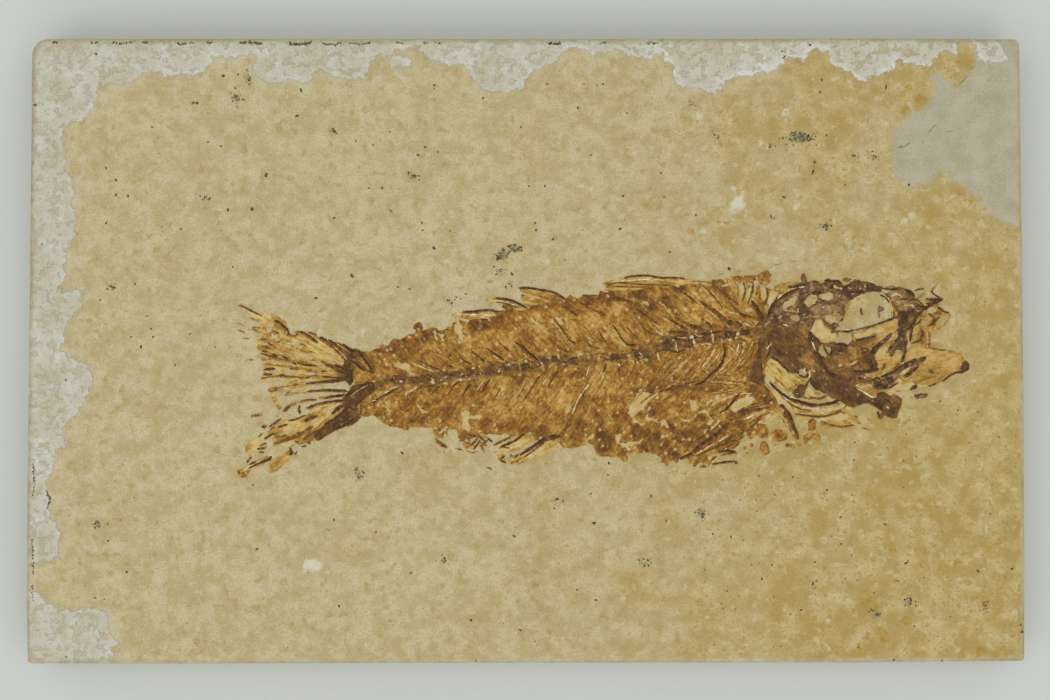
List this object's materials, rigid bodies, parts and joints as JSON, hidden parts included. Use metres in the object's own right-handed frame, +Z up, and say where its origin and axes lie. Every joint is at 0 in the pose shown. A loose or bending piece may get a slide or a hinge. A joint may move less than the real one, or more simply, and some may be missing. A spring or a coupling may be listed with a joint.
{
  "type": "fossil fish slab",
  "caption": "Flat sawn slab of buff limestone with a flattened fossil fish on its upper face: forked tail, spined backbone, scaly flank, fins and an open-mouthed head.",
  "frame": {"origin": "middle of the slab's outline, on the underside that it lies on", "axes": "+X along the slab towards the fish's head, +Y across the slab towards the fish's back, +Z up out of the face that carries the fish"},
  "size_m": [0.15, 0.094, 0.0128],
  "materials": {
    "slab": "split limestone, buff, sawn edges dulled",
    "flank_scales": "pressed scales, orange brown, satin",
    "backbone": "dark brown mineralised bone, satin",
    "tail_fin": "amber brown web with dark rays",
    "rear_dorsal_fin": "amber brown web with dark rays",
    "front_dorsal_fin": "amber brown web with dark rays",
    "anal_fin": "amber brown web with dark rays",
    "pelvic_fin": "amber brown web with dark rays",
    "pectoral_fin": "amber brown web with dark rays",
    "skull": "dark brown mineralised bone, satin",
    "gill_cover": "dark brown mineralised bone, satin",
    "shoulder_bone": "dark brown mineralised bone, satin",
    "upper_jaw": "dark brown mineralised bone, satin",
    "lower_jaw": "amber bone with a dark rim, satin",
    "gill_rays": "thin brown rays in a faint amber skin"
  },
  "bodies": {
    "root": {"slab": "slab", "flank_scales": "flank_scales", "backbone": "backbone", "tail_fin": "tail_fin", "rear_dorsal_fin": "rear_dorsal_fin", "front_dorsal_fin": "front_dorsal_fin", "anal_fin": "anal_fin", "pelvic_fin": "pelvic_fin", "pectoral_fin": "pectoral_fin", "skull": "skull", "gill_cover": "gill_cover", "shoulder_bone": "shoulder_bone", "upper_jaw": "upper_jaw", "lower_jaw": "lower_jaw", "gill_rays": "gill_rays"}
  },
  "joints": []
}
